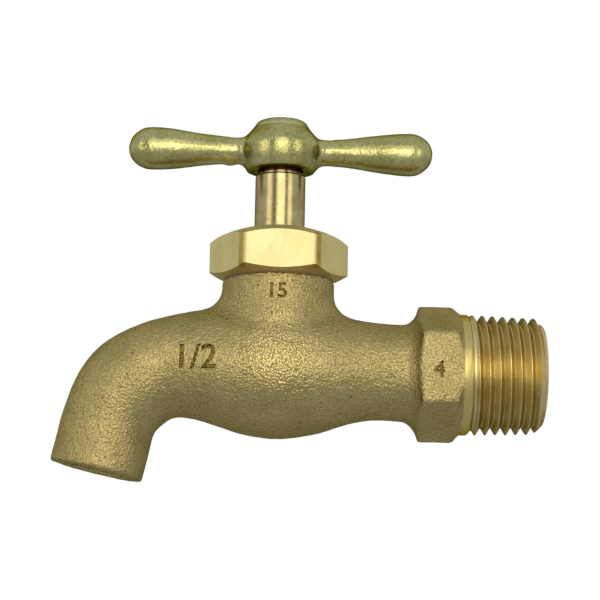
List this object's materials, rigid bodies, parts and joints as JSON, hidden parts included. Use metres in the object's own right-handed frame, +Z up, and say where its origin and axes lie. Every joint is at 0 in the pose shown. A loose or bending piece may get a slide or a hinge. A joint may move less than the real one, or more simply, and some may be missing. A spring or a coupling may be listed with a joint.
{
  "type": "hose bibb",
  "caption": "Brass compression bibb with a cast globe body, bent plain spout, taper-threaded inlet, hexagonal bonnet and tee handle on a rising stem.",
  "frame": {"origin": "centre of the inlet's end face", "axes": "+X out of the inlet towards the pipe, +Z up along the stem, the spout hangs at the -X end, +Y to the back of the view"},
  "size_m": [0.086, 0.024, 0.0653],
  "materials": {
    "cast_brass": "sand-cast, shot-blasted, fine grain",
    "machined_brass": "machined bright",
    "turned_bronze": "turned, smooth",
    "tumbled_brass": "cast and tumbled, satin",
    "screw_brass": "turned, smooth",
    "gasket_fibre": "pressed fibre, matt",
    "seal_rubber": "moulded, matt"
  },
  "bodies": {
    "valve_body": {"body": "cast_brass", "bonnet": "machined_brass", "bonnet_gasket": "gasket_fibre"},
    "washer": {"seat_washer": "seal_rubber"},
    "stem": {"stem": "turned_bronze", "o_ring_lower": "seal_rubber", "o_ring_upper": "seal_rubber", "handle": "tumbled_brass", "handle_screw": "screw_brass", "washer_retainer": "screw_brass", "seat_screw": "screw_brass"}
  },
  "joints": [
    {"name": "stem_lift", "type": "slide", "parent": "valve_body", "child": "washer", "axis": [0, 0, 1], "range_m": [0, 0.00318]},
    {"name": "handle_turn", "type": "hinge", "parent": "washer", "child": "stem", "pos_m": [-0.0469, 0, 0.0046], "axis": [0, 0, 1], "range_deg": [0, 540]}
  ],
  "couplings": [
    {"joint": "stem_lift", "follows": "handle_turn", "m_per_rad": 0.00033693}
  ]
}
